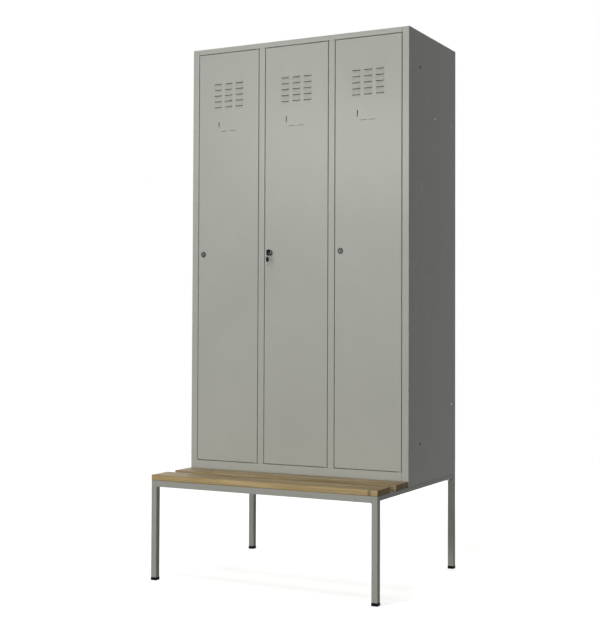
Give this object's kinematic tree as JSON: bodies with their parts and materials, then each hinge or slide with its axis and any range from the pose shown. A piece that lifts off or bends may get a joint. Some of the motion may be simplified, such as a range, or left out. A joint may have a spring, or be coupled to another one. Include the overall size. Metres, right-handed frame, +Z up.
{
  "type": "clothes locker on a bench base",
  "caption": "Sheet-steel clothes locker with full-height louvred doors, cam locks and shelves, bolted on a square-tube bench base with a slatted wooden seat in front.",
  "frame": {"origin": "on the floor under the middle of the whole footprint, bench included", "axes": "+X to the right of a person facing the doors, +Y towards the locker's back, +Z up"},
  "size_m": [1.002, 0.802, 2.2],
  "materials": {
    "grey_paint": "light grey powder coat with a fine texture, satin",
    "frame_paint": "light grey powder coat on square tube, satin",
    "slat_wood": "planed softwood under clear lacquer, satin",
    "black_plastic": "moulded black plastic, matt",
    "zinc": "bright zinc plate",
    "chrome_tube": "chromed tube, bright",
    "lock_nickel": "dull nickel plate on a die-cast lock",
    "key_bow": "moulded dark plastic on the bow, nickel-plated blade"
  },
  "bodies": {
    "casing": {"side_panel_left": "grey_paint", "side_panel_right": "grey_paint", "roof_panel": "grey_paint", "bottom_rail": "grey_paint", "floor_panel": "grey_paint", "back_panel": "grey_paint", "mullion_1": "grey_paint", "mullion_2": "grey_paint", "partition_1": "grey_paint", "partition_2": "grey_paint", "hat_shelf_left": "grey_paint", "coat_rail_left": "chrome_tube", "coat_hook_left": "zinc", "hat_shelf_middle": "grey_paint", "coat_rail_middle": "chrome_tube", "coat_hook_middle": "zinc", "hat_shelf_right": "grey_paint", "coat_rail_right": "chrome_tube", "coat_hook_right": "zinc", "leg_front_left": "frame_paint", "leg_front_right": "frame_paint", "leg_rear_left": "frame_paint", "leg_rear_right": "frame_paint", "foot_plug_front_left": "black_plastic", "foot_plug_front_right": "black_plastic", "foot_plug_rear_left": "black_plastic", "foot_plug_rear_right": "black_plastic", "locker_bolt_front_left": "zinc", "locker_bolt_front_right": "zinc", "locker_bolt_rear_left": "zinc", "locker_bolt_rear_right": "zinc", "front_rail": "frame_paint", "rear_rail": "frame_paint", "side_rail_left": "frame_paint", "side_rail_right": "frame_paint", "cross_rail": "frame_paint", "slat_front": "slat_wood", "slat_rear": "slat_wood"},
    "left_door": {"door_left": "grey_paint", "hinge_channel_left": "grey_paint", "lock_housing_left": "lock_nickel", "lock_nut_left": "zinc"},
    "left_lock": {"lock_plug_left": "lock_nickel", "lock_cam_left": "zinc"},
    "middle_door": {"door_middle": "grey_paint", "hinge_channel_middle": "grey_paint", "lock_housing_middle": "lock_nickel", "lock_nut_middle": "zinc"},
    "middle_lock": {"lock_plug_middle": "lock_nickel", "lock_cam_middle": "zinc"},
    "right_door": {"door_right": "grey_paint", "hinge_channel_right": "grey_paint", "lock_housing_right": "lock_nickel", "lock_nut_right": "zinc"},
    "right_lock": {"lock_plug_right": "lock_nickel", "lock_cam_right": "zinc"},
    "pulled_key": {"key": "key_bow"},
    "ring": {"key_ring": "lock_nickel"},
    "hanging_key": {"spare_key": "key_bow"}
  },
  "joints": [
    {"name": "left_door_swing", "type": "hinge", "parent": "casing", "child": "left_door", "pos_m": [-0.18717, -0.104, 1.325], "axis": [0, 0, 1], "range_deg": [0, 110]},
    {"name": "left_lock_turn", "type": "hinge", "parent": "left_door", "child": "left_lock", "pos_m": [-0.4435, -0.11, 1.325], "axis": [0, 1, 0], "range_deg": [0, 90]},
    {"name": "middle_door_swing", "type": "hinge", "parent": "casing", "child": "middle_door", "pos_m": [0.13617, -0.104, 1.325], "axis": [0, 0, 1], "range_deg": [0, 110]},
    {"name": "middle_lock_turn", "type": "hinge", "parent": "middle_door", "child": "middle_lock", "pos_m": [-0.12017, -0.11, 1.325], "axis": [0, 1, 0], "range_deg": [0, 90]},
    {"name": "right_door_swing", "type": "hinge", "parent": "casing", "child": "right_door", "pos_m": [0.4595, -0.104, 1.325], "axis": [0, 0, 1], "range_deg": [0, 110]},
    {"name": "right_lock_turn", "type": "hinge", "parent": "right_door", "child": "right_lock", "pos_m": [0.20317, -0.11, 1.325], "axis": [0, 1, 0], "range_deg": [0, 90]},
    {"name": "key_pull", "type": "slide", "parent": "middle_lock", "child": "pulled_key", "axis": [0, -1, 0], "range_m": [0, 0.024]},
    {"name": "ring_swing", "type": "hinge", "parent": "pulled_key", "child": "ring", "pos_m": [-0.12017, -0.13215, 1.3233], "axis": [1, 0, 0], "range_deg": [-60, 5]},
    {"name": "spare_key_swing", "type": "hinge", "parent": "ring", "child": "hanging_key", "pos_m": [-0.12017, -0.13215, 1.3033], "axis": [1, 0, 0], "range_deg": [-60, 20]}
  ]
}
